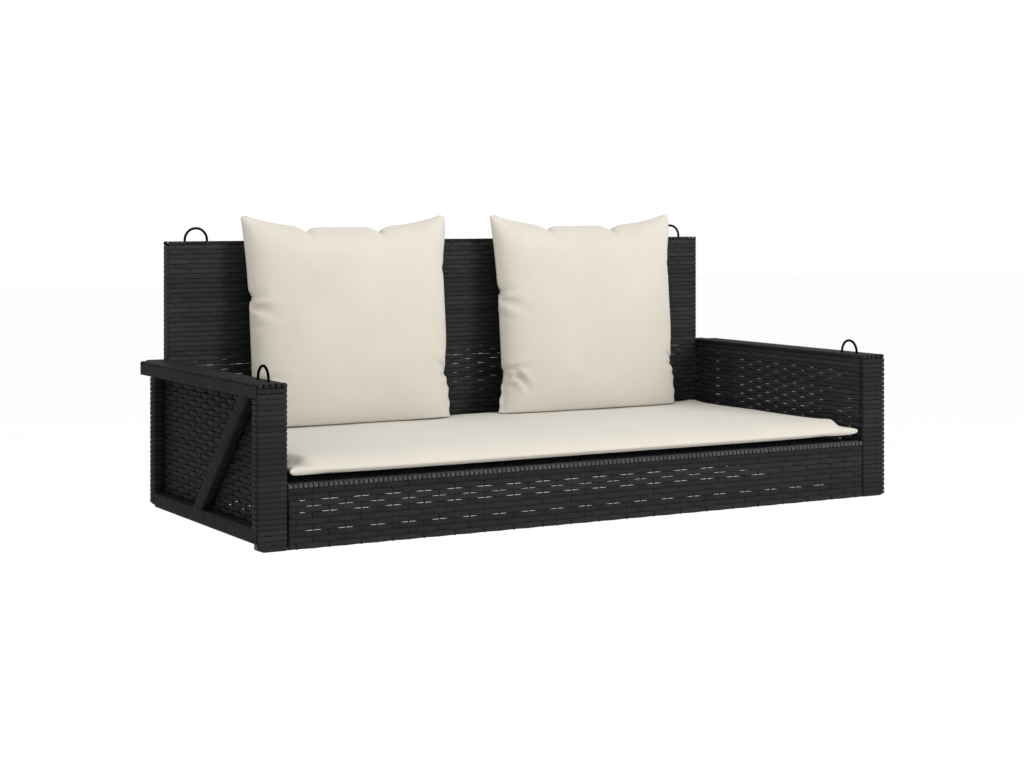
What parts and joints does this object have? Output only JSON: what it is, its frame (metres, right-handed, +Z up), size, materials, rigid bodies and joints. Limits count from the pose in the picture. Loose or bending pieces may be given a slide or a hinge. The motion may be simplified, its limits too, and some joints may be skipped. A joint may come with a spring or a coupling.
{
  "type": "porch swing",
  "caption": "Two-seat hanging porch swing: woven flat-strand wicker over a steel tube frame, braced arms, steel hanging hoops, a seat pad and loose back pillows.",
  "frame": {"origin": "on the plane of the lowest points of the frame, under the centre of the whole bench's bounding box", "axes": "+X along the bench towards the right arm as seen from the front, +Y from the front to the back panel, +Z up"},
  "size_m": [1.39, 0.62, 0.5735],
  "materials": {
    "wicker": "black woven flat polyethylene strand, satin",
    "frame_steel": "black powder-coated steel tube, satin",
    "hoop_steel": "black powder-coated steel rod, semi-gloss",
    "fasteners": "zinc-plated steel",
    "cushion_fabric": "cream woven polyester outdoor fabric"
  },
  "bodies": {
    "frame": {"left_front_post_wrap": "wicker", "left_rear_post_wrap": "wicker", "left_trim_post_wrap": "wicker", "left_top_rail_wrap": "wicker", "left_bottom_rail_wrap": "wicker", "left_brace_wrap": "wicker", "left_outer_weave": "wicker", "left_inner_weave": "wicker", "left_inner_posts": "frame_steel", "left_inner_rails": "frame_steel", "left_outer_posts": "frame_steel", "left_outer_rails": "frame_steel", "left_brace_tube": "frame_steel", "right_front_post_wrap": "wicker", "right_rear_post_wrap": "wicker", "right_trim_post_wrap": "wicker", "right_top_rail_wrap": "wicker", "right_bottom_rail_wrap": "wicker", "right_brace_wrap": "wicker", "right_outer_weave": "wicker", "right_inner_weave": "wicker", "right_inner_posts": "frame_steel", "right_inner_rails": "frame_steel", "right_outer_posts": "frame_steel", "right_outer_rails": "frame_steel", "right_brace_tube": "frame_steel", "front_left_hoop": "hoop_steel", "front_right_hoop": "hoop_steel", "rear_left_hoop": "hoop_steel", "rear_right_hoop": "hoop_steel", "apron_weave": "wicker", "apron_rails": "frame_steel", "apron_uprights": "frame_steel", "seat_deck_weave": "wicker", "seat_side_wraps": "wicker", "seat_rear_wrap": "wicker", "seat_side_tubes": "frame_steel", "seat_lower_tubes": "frame_steel", "seat_rear_tube": "frame_steel", "seat_corner_posts": "frame_steel", "seat_cross_tubes": "frame_steel", "back_front_weave": "wicker", "back_rear_weave": "wicker", "back_top_wrap": "wicker", "back_bottom_wrap": "wicker", "back_side_wraps": "wicker", "back_top_tube": "frame_steel", "back_bottom_tube": "frame_steel", "back_mid_rails": "frame_steel", "back_uprights": "frame_steel", "frame_bolts": "fasteners", "arm_end_bolts": "fasteners", "bolt_washers": "fasteners", "rivet_nuts": "fasteners"},
    "seat_pad": {"seat_cushion": "cushion_fabric"},
    "left_pillow": {"left_back_pillow": "cushion_fabric"},
    "right_pillow": {"right_back_pillow": "cushion_fabric"}
  },
  "joints": [
    {"name": "seat_pad_lift", "type": "slide", "parent": "frame", "child": "seat_pad", "axis": [0, 0, 1], "range_m": [0, 0.35]},
    {"name": "left_pillow_lift", "type": "slide", "parent": "seat_pad", "child": "left_pillow", "axis": [0, 0, 1], "range_m": [0, 0.45]},
    {"name": "right_pillow_lift", "type": "slide", "parent": "seat_pad", "child": "right_pillow", "axis": [0, 0, 1], "range_m": [0, 0.45]}
  ]
}
